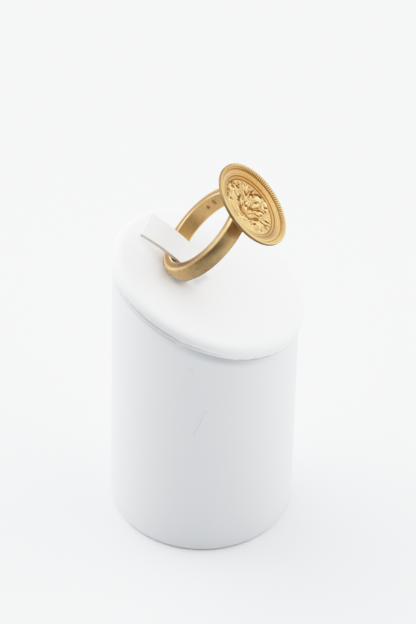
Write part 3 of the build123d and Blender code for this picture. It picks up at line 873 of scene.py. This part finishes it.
def make_body(settings):
    """The body: circles stacked from the foot's rounding up to the slanted seam, where each
    column ends at its own height and turns in under the cushion's lip. Its one mesh value is the
    grey painted shadow under that lip."""
    angle = full_turn(BODY_COLUMNS)
    degrees = np.degrees(angle)
    x, y = np.cos(angle), np.sin(angle)
    radius, foot = settings.body_radius, settings.foot_round

    def seam(y_place):
        """Height of the slanted top over a place."""
        return settings.axis_height + y_place * math.tan(settings.top_slope)

    def circles(radii, heights):
        """Rows of points round the axis, from their radii and their heights."""
        return np.stack(np.broadcast_arrays(radii * x, radii * y, heights), axis=-1)

    bend = np.linspace(0, math.pi / 2, 9)
    low_radii = np.concatenate([[radius - 6 * MM, radius - 3 * MM], radius - foot * (1 - np.sin(bend))])
    low_heights = np.concatenate([[0, 0], foot * (1 - np.cos(bend))])
    t = np.linspace(0, 1, 91)[1:, None]
    inset, below = (np.array(SHOULDER) * MM).T[..., None]
    inner = radius - np.array([[1.0], [4.0]]) * MM
    rows = np.concatenate([
        circles(low_radii[:, None], low_heights[:, None]),
        circles(radius, foot + (seam(radius * y) - 2.4 * MM - foot) * t),
        circles(radius - inset, seam((radius - inset) * y) - below),
        circles(inner, seam(inner * y))])
    under = seam(rows[..., 1]) - rows[..., 2]
    # Grey painted shadow under the cushion's lip: a narrow band, uneven round the body and weaker near 155
    # degrees, and a wider one near 195 degrees
    around = 0.62 + 0.3 * np.sin(3 * angle + 1.2) + 0.25 * np.sin(7 * angle + 0.5)
    soil_and_shade = np.clip(around, 0.25, 1) * smooth_step(1.35 * MM, 0.35 * MM, under)
    soil_and_shade = soil_and_shade * (1 - 0.5 * bell(degrees - 155, 16))
    wide = 0.45 * bell(degrees - 195, 19) * smooth_step(3.0 * MM, 1.2 * MM, under)
    return add_surface("body_cover", rows, values={"painted_shade": np.maximum(soil_and_shade, wide)}, crease=40)


# Materials

def add_node(tree, kind, values=(), links=(), **settings):
    """Adds one node: settings are its own properties, values are numbers for its sockets, and
    links are the sockets that feed it."""
    node = tree.nodes.new(kind)
    for name, value in settings.items():
        setattr(node, name, value)
    for socket, value in dict(values).items():
        node.inputs[socket].default_value = value
    for socket, source in dict(links).items():
        tree.links.new(source, node.inputs[socket])
    return node


def new_material(name):
    """A material with only a Principled shader and its output, and the object's own coordinates."""
    material = bpy.data.materials.new(name)
    material.use_nodes = True
    tree = material.node_tree
    tree.nodes.clear()
    shader = add_node(tree, "ShaderNodeBsdfPrincipled")
    add_node(tree, "ShaderNodeOutputMaterial", links={"Surface": shader.outputs["BSDF"]})
    coordinates = add_node(tree, "ShaderNodeTexCoord").outputs["Object"]
    return material, tree, shader, coordinates


def noise(tree, coordinates, millimetres, detail=2.0, roughness=0.5):
    """Noise whose features are about this many millimetres wide."""
    look = {"Scale": 1 / (millimetres * MM), "Detail": detail, "Roughness": roughness}
    return add_node(tree, "ShaderNodeTexNoise", look, {"Vector": coordinates}).outputs["Fac"]


def remapped(tree, value, low, high, to_low, to_high, **settings):
    """Value carried over from the range of low to high to another range."""
    ends = {"From Min": low, "From Max": high, "To Min": to_low, "To Max": to_high}
    return add_node(tree, "ShaderNodeMapRange", ends, {"Value": value}, **settings).outputs["Result"]


def summed(tree, first, second, **settings):
    """Sum of two values."""
    terms = {0: first, 1: second}
    return add_node(tree, "ShaderNodeMath", links=terms, operation="ADD", **settings).outputs[0]


def bumped(tree, height, strength, millimetres, links=(), **settings):
    """Normal bent by a height of up to this many millimetres."""
    return add_node(tree, "ShaderNodeBump", {"Strength": strength, "Distance": millimetres * MM},
                    {"Height": height, **dict(links)}, **settings).outputs["Normal"]


def feed(tree, socket, source):
    """Gives the socket a plain number or colour, or links it to another one."""
    if isinstance(source, tuple):
        socket.default_value = (*source, 1)
    elif isinstance(source, float):
        socket.default_value = source
    else:
        tree.links.new(source, socket)


def mixed(tree, first, second, factor, blend="MIX"):
    """Colour mixed from two colours by a factor, each of them plain or a socket."""
    mix = add_node(tree, "ShaderNodeMix", data_type="RGBA", blend_type=blend)
    for socket, source in ((0, factor), (6, first), (7, second)):
        feed(tree, mix.inputs[socket], source)
    return mix.outputs[2]


def attribute(tree, name):
    """The value that the mesh holds under this name."""
    return add_node(tree, "ShaderNodeAttribute", attribute_name=name).outputs["Fac"]


def satin_gilding(settings):
    """Satin gilding over cast silver: soft pale yellow metal, rubbed bright on what stands out,
    brown in the recesses, dulled to olive by cloudy tarnish, with a fine cast grain. The same
    values also lay painted shade, painted shadow and painted highlights on it."""
    material, tree, shader, coordinates = new_material("satin_gilding_on_cast_silver")
    gold, tarnish_and_shade = settings.gold_colour[:], settings.tarnish_colour[:]
    # Clouds of tarnish are 1 to 2 mm across, with specks of a third of a millimetre
    cloud = remapped(tree, noise(tree, coordinates, 1.0, 5.0, 0.7), 0.32, 0.7, -0.14, 0.2)
    body = mixed(tree, gold, tarnish_and_shade, summed(tree, attribute(tree, "tarnish_and_shade"), cloud, use_clamp=True))
    # Fine mottling, a third of a millimetre across, of thicker and thinner gilding
    thin = remapped(tree, noise(tree, coordinates, 0.35, 3.0, 0.6), 0.35, 0.65, 0.0, 0.17)
    body = mixed(tree, body, tarnish_and_shade, thin)
    # Dirt and painted shade darken it from brown to nearly black
    shade_ramp = add_node(tree, "ShaderNodeValToRGB", links={"Fac": attribute(tree, "dirt_and_shade")})
    ramp = shade_ramp.color_ramp
    ramp.elements[0].color = (1, 1, 1, 1)
    ramp.elements[1].color = (0.05, 0.03, 0.02, 1)
    brown = (np.array(settings.recess_colour[:]) / np.array(gold)).clip(0, 1)
    ramp.elements.new(0.62).color = (*brown, 1)
    body = mixed(tree, body, shade_ramp.outputs["Color"], 1.0, "MULTIPLY")
    # Rubbed gilding and painted highlights take the worn colour
    body = mixed(tree, body, settings.worn_and_highlight_colour[:], attribute(tree, "wear_and_highlight"))
    # Cast grain is about 0.1 mm; drawn at 0.25 mm so that it shows
    grain = noise(tree, coordinates, 0.25)
    shader.inputs["Metallic"].default_value = 1.0
    feed(tree, shader.inputs["Base Color"], body)
    feed(tree, shader.inputs["Roughness"], remapped(tree, grain, 0.3, 0.7, 0.32, 0.48))
    feed(tree, shader.inputs["Normal"], bumped(tree, grain, 0.7, 0.045))
    return material


# A pit, a spot and a faint scratch on the body's cover: degrees round the axis, height, half
# sizes round, up and deep, slant in degrees, all lengths in millimetres
MARKS = [
    (177.9, 52.8, 0.62, 0.7, 0.5, 0),
    (187.3, 40.9, 0.4, 0.4, 0.3, 0),
    (183.0, 36.7, 0.17, 4.6, 0.4, -20),
]


def marks(tree, coordinates, radius):
    """Sum of the body's small marks: one inside each, falling to nothing at the edge of its
    ellipsoid, which lies on the cylinder of the cover."""
    total = None
    for degrees, height, wide, high, deep, slant in MARKS:
        angle = math.radians(degrees)
        mapping = {
            "Location": (radius * math.cos(angle), radius * math.sin(angle), height * MM),
            "Rotation": (math.radians(slant), 0, angle),
            "Scale": (deep * MM, wide * MM, high * MM),
        }
        inside = add_node(tree, "ShaderNodeMapping", mapping, {"Vector": coordinates},
                          vector_type="TEXTURE").outputs["Vector"]
        reach = add_node(tree, "ShaderNodeVectorMath", links={0: inside}, operation="LENGTH").outputs["Value"]
        mark = remapped(tree, reach, 1.0, 0.3, 0.0, 1.0, interpolation_type="SMOOTHSTEP")
        total = mark if total is None else summed(tree, total, mark, use_clamp=True)
    return total


# Grey of the painted shade on the body and the cushion
SHADE_GREY = ("painted_shade", "#8F9194")


def white_cover(name, code, roughness, grain, depth, shade_tint=None, marked=0.0):
    """White coated cloth or plastic: nearly plain, with a fine even grain and a soft gloss. A
    tint, a mesh value's name and the colour that it brings, lays on painted shade, as on the
    body, the cushion and the strip's cut edges. The body's cover, of the radius marked, also has
    a few small marks."""
    material, tree, shader, coordinates = new_material(name)
    pattern = noise(tree, coordinates, grain, 3.0)
    rough = remapped(tree, pattern, 0.3, 0.7, roughness - 0.05, roughness + 0.05)
    normal = bumped(tree, pattern, 0.3, depth)
    cover = tuple(code)
    if shade_tint:
        cover = mixed(tree, cover, linear(shade_tint[1]), attribute(tree, shade_tint[0]))
    if marked:
        dents = marks(tree, coordinates, marked)
        soil_and_shade = remapped(tree, dents, 0.0, 1.0, 0.0, 0.22)
        cover = mixed(tree, cover, linear("#B9BBB6"), soil_and_shade)
        normal = bumped(tree, dents, 0.6, 0.2, {"Normal": normal}, invert=True)
    for socket, source in (("Base Color", cover), ("Roughness", rough), ("Normal", normal)):
        feed(tree, shader.inputs[socket], source)
    return material


# Operators

class BuildRing(bpy.types.Operator):
    """Builds the ring's band, seat and plate"""
    bl_idname = "display_ring.build_ring"
    bl_label = "Build Ring"

    def execute(self, context):
        """Makes the three pieces of the one casting, all of the same gilding."""
        settings, places = context.scene.gilded_ring, layout()
        gilding = satin_gilding(settings)
        for make in (make_plate, make_band, make_seat):
            finish_piece(make(settings, places), gilding, "gilded_silver", "signet_ring")
        return {"FINISHED"}


class BuildStrip(bpy.types.Operator):
    """Builds the strip that holds the ring"""
    bl_idname = "display_ring.build_strip"
    bl_label = "Build Strip"

    def execute(self, context):
        """Makes the strip of smooth white plastic."""
        settings = context.scene.holding_strip
        piece = make_strip(settings, layout(), context.scene.gilded_ring)
        plastic = white_cover("cut_white_plastic_sheet", settings.strip_colour, 0.45, 0.6, 0.01,
                              ("cut", "#D2C7B6"))
        finish_piece(piece, plastic, "white_strip", "ring_strip")
        return {"FINISHED"}


class BuildStand(bpy.types.Operator):
    """Builds the stand's body"""
    bl_idname = "display_ring.build_stand"
    bl_label = "Build Stand"

    def execute(self, context):
        """Makes the covered body."""
        settings = context.scene.display_stand
        cover = white_cover("stretched_white_leatherette", settings.body_colour, 0.42, 0.5, 0.015,
                            SHADE_GREY, settings.body_radius)
        finish_piece(make_body(settings), cover, "white_body", "stand_body")
        return {"FINISHED"}


class BuildCushion(bpy.types.Operator):
    """Builds the cushion on the stand's slanted top"""
    bl_idname = "display_ring.build_cushion"
    bl_label = "Build Cushion"

    def execute(self, context):
        """Makes the padded leatherette cushion."""
        scene = context.scene
        settings = scene.display_stand
        cover = white_cover("soft_white_leatherette", settings.pad_colour, 0.5, 0.6, 0.02, SHADE_GREY)
        piece = make_cushion(settings, layout(), scene.gilded_ring, scene.holding_strip)
        finish_piece(piece, cover, "white_pad", "stand_pad")
        return {"FINISHED"}


class BuildStage(bpy.types.Operator):
    """Builds the floor, the light and the camera"""
    bl_idname = "display_ring.build_stage"
    bl_label = "Build Stage"

    def execute(self, context):
        """Makes a plain pale floor, a light tent that is darker on the camera's side, and the
        camera at the photograph's angle."""
        settings = context.scene.studio_stage
        add_floor(settings)
        add_light(settings)
        add_camera(settings)
        set_tones(context.scene.view_settings)
        return {"FINISHED"}


def add_floor(settings):
    """A wide flat floor of matt paper at the stand's foot."""
    reach = 6.0
    corners = [(-reach, -reach, 0), (reach, -reach, 0), (reach, reach, 0), (-reach, reach, 0)]
    mesh = bpy.data.meshes.new("floor")
    mesh.from_pydata(corners, [], [(0, 1, 2, 3)])
    floor = bpy.data.objects.new("floor", mesh)
    bpy.context.scene.collection.objects.link(floor)
    floor.data.materials.append(white_cover("matt_white_paper", settings.floor_colour, 0.8, 2.0, 0.01))


def camera_axes(settings):
    """Right, up and forward of the camera, from its azimuth, elevation and roll."""
    level = np.array([math.cos(settings.azimuth), math.sin(settings.azimuth), 0])
    away = np.array([-math.sin(settings.azimuth), math.cos(settings.azimuth), 0])
    forward = math.cos(settings.elevation) * away - math.sin(settings.elevation) * np.array([0, 0, 1])
    lift = math.sin(settings.elevation) * away + math.cos(settings.elevation) * np.array([0, 0, 1])
    right = math.cos(settings.roll) * level + math.sin(settings.roll) * lift
    up = math.cos(settings.roll) * lift - math.sin(settings.roll) * level
    return right, up, forward


# The camera's tone curve: light in the scene and in the picture, both linear. It is straight
# up to the knee and bends over above it, so that white cloth and paper keep their shades.
TONES = [(0.0, 0.0), (0.53, 0.53), (0.66, 0.643), (0.8, 0.736), (1.0, 0.827), (1.25, 0.892),
         (1.6, 0.94), (2.0, 0.961)]


def set_tones(view):
    """Gives the picture the camera's tone curve, over light from 0 to the curve's last point."""
    view.view_transform = "Standard"
    view.use_curve_mapping = True
    mapping = view.curve_mapping
    brightest = TONES[-1][0]
    mapping.white_level = (brightest, brightest, brightest)
    points = mapping.curves[3].points
    while len(points) < len(TONES):
        points.new(0.5, 0.5)
    for point, (light, tone) in zip(points, TONES):
        point.location = (light / brightest, tone)
    mapping.update()


# Bright cloths of the light tent: degrees from straight behind the stand round to the right,
# how far up, strength in the middle, cosine of the angle at which it has faded away
CLOTHS = [(45, 0.35, 0.74, 0.5), (90, 0.35, 1.96, 0.5), (270, 0.35, 1.08, 0.5),
          (315, 0.35, 2.93, 0.5), (0, 99.0, 1.0, 0.4)]
TENT_FLOOR = 0.03


def add_light(settings):
    """A light tent as the world: bright cloths above, behind and at both sides, and dim towards
    the camera. Each cloth fades smoothly from its middle outwards."""
    world = bpy.data.worlds.new("light_tent")
    bpy.context.scene.world = world
    world.use_nodes = True
    tree = world.node_tree
    tree.nodes.clear()
    right, _, forward = camera_axes(settings)
    away, level = unit(forward[0], forward[1], 0), unit(right[0], right[1], 0)
    direction = add_node(tree, "ShaderNodeTexCoord").outputs["Generated"]
    total = add_node(tree, "ShaderNodeValue").outputs[0]
    total.default_value = TENT_FLOOR * settings.light_strength
    for degrees, lift, strength, faded in CLOTHS:
        angle = math.radians(degrees)
        middle = unit(*(away * math.cos(angle) + level * math.sin(angle) + np.array([0, 0, lift])))
        cosine = add_node(tree, "ShaderNodeVectorMath", {1: middle.tolist()}, {0: direction},
                          operation="DOT_PRODUCT").outputs["Value"]
        cloth = remapped(tree, cosine, faded, 1.0, 0.0, strength * settings.light_strength,
                         interpolation_type="SMOOTHSTEP")
        total = summed(tree, total, cloth)
    background = add_node(tree, "ShaderNodeBackground", {"Color": (*settings.light_colour, 1)},
                          {"Strength": total})
    add_node(tree, "ShaderNodeOutputWorld", links={"Surface": background.outputs["Background"]})


# Size of the photograph and place of the foot's centre in it, in pixels, and the camera's
# sensor in millimetres
PHOTO_WIDE, PHOTO_HIGH = 416, 624
FOOT_RIGHT, FOOT_DOWN = 201.1, 486.9
SENSOR = 36


def add_camera(settings):
    """Camera whose frame puts the foot's centre at the pixel where the photograph has it."""
    right, up, forward = camera_axes(settings)
    pixel = settings.distance / (settings.lens / SENSOR * PHOTO_HIGH)
    place = (PHOTO_WIDE / 2 - FOOT_RIGHT) * pixel * right + (FOOT_DOWN - PHOTO_HIGH / 2) * pixel * up
    place = place - settings.distance * forward
    data = bpy.data.cameras.new("camera")
    data.sensor_width = SENSOR
    data.lens = settings.lens
    data.clip_start, data.clip_end = 0.05, 50
    camera = bpy.data.objects.new("camera", data)
    rotation = np.eye(4)
    rotation[:3, :3] = np.stack([right, up, -forward], axis=-1)
    rotation[:3, 3] = place
    camera.matrix_world = Matrix(rotation.tolist())
    bpy.context.scene.collection.objects.link(camera)
    bpy.context.scene.camera = camera


class RingPanel(bpy.types.Panel):
    """Lists the steps and the settings in the sidebar"""
    bl_idname = "VIEW3D_PT_display_ring"
    bl_label = "Ring on Display Stand"
    bl_space_type = "VIEW_3D"
    bl_region_type = "UI"
    bl_category = "Ring"

    def draw(self, context):
        """One button for each operator, then each group's settings."""
        for operator in OPERATORS:
            self.layout.operator(operator.bl_idname)
        for group in GROUPS:
            box = self.layout.box()
            settings = getattr(context.scene, group)
            for name in type(settings).__annotations__:
                box.prop(settings, name)


GROUPS = {
    "display_stand": StandSettings, "gilded_ring": RingSettings,
    "holding_strip": StripSettings, "studio_stage": StageSettings,
}
OPERATORS = (BuildStage, BuildRing, BuildStrip, BuildStand, BuildCushion)
CLASSES = (*GROUPS.values(), *OPERATORS, RingPanel)


def register():
    """Registers the classes and hangs the settings on the scene."""
    for item in CLASSES:
        bpy.utils.register_class(item)
    for name, group in GROUPS.items():
        setattr(bpy.types.Scene, name, bpy.props.PointerProperty(type=group))


def unregister():
    """Takes the settings and the classes away again."""
    for name in GROUPS:
        delattr(bpy.types.Scene, name)
    for item in reversed(CLASSES):
        bpy.utils.unregister_class(item)


def main():
    """Registers the add-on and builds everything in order."""
    register()
    for operator in OPERATORS:
        group, name = operator.bl_idname.split(".")
        getattr(getattr(bpy.ops, group), name)()


if __name__ == "__main__":
    main()
